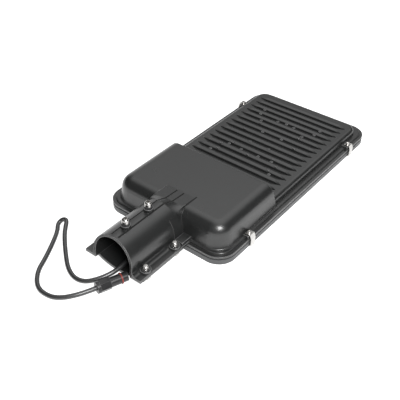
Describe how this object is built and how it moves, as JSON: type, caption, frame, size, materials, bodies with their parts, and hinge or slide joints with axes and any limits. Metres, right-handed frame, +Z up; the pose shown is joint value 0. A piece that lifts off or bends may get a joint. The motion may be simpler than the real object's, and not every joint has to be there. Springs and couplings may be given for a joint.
{
  "type": "street lamp head",
  "caption": "Flat cast lamp head with a finned roof, a gear box, a clamped pole socket, rim clips over a glass lens frame, and a lead with a loose round connector.",
  "frame": {"origin": "on the surface it lies on, under the middle of the housing with its socket", "axes": "+X from the mouth of the pole socket to the far end of the finned roof, +Z up from the glass to the roof, +Y to the left"},
  "size_m": [0.5771, 0.2395, 0.0749],
  "materials": {
    "housing_coat": "satin dark grey coat on a casting",
    "frame_coat": "mid grey coat",
    "clear_glass": "clear",
    "seal_rubber": "matte",
    "bright_steel": "bright",
    "dark_steel": "black oxide",
    "board_white": "white mask on a metal board",
    "emitter_yellow": "yellow phosphor under clear resin",
    "tray_sheet": "mill finish",
    "battery_wrap": "shrunk film",
    "black_plastic": "matte",
    "cable_jacket": "smooth jacket",
    "red_rubber": "smooth",
    "contact_brass": "plated"
  },
  "bodies": {
    "root": {"back_housing": "housing_coat", "clamp_saddle": "housing_coat", "lens_frame": "frame_coat", "glass_cover": "clear_glass", "seal_gasket": "seal_rubber", "cable_gland": "seal_rubber", "clip_near_left": "bright_steel", "clip_near_right": "bright_steel", "clip_far_left": "bright_steel", "clip_far_right": "bright_steel", "clip_screws": "bright_steel", "set_screws": "bright_steel", "clamp_bolts": "bright_steel", "clamp_washers": "bright_steel", "board_screws": "bright_steel", "tray_screws": "bright_steel", "lock_nuts": "dark_steel", "led_board": "board_white", "led_emitters": "emitter_yellow", "gear_tray": "tray_sheet", "battery_pack": "battery_wrap", "charge_controller": "black_plastic", "connector_tail_ring": "black_plastic", "connector_nut": "black_plastic", "connector_shell": "black_plastic", "connector_end": "black_plastic", "power_cable": "cable_jacket", "connector_seal": "red_rubber", "connector_contacts": "contact_brass"}
  },
  "joints": []
}
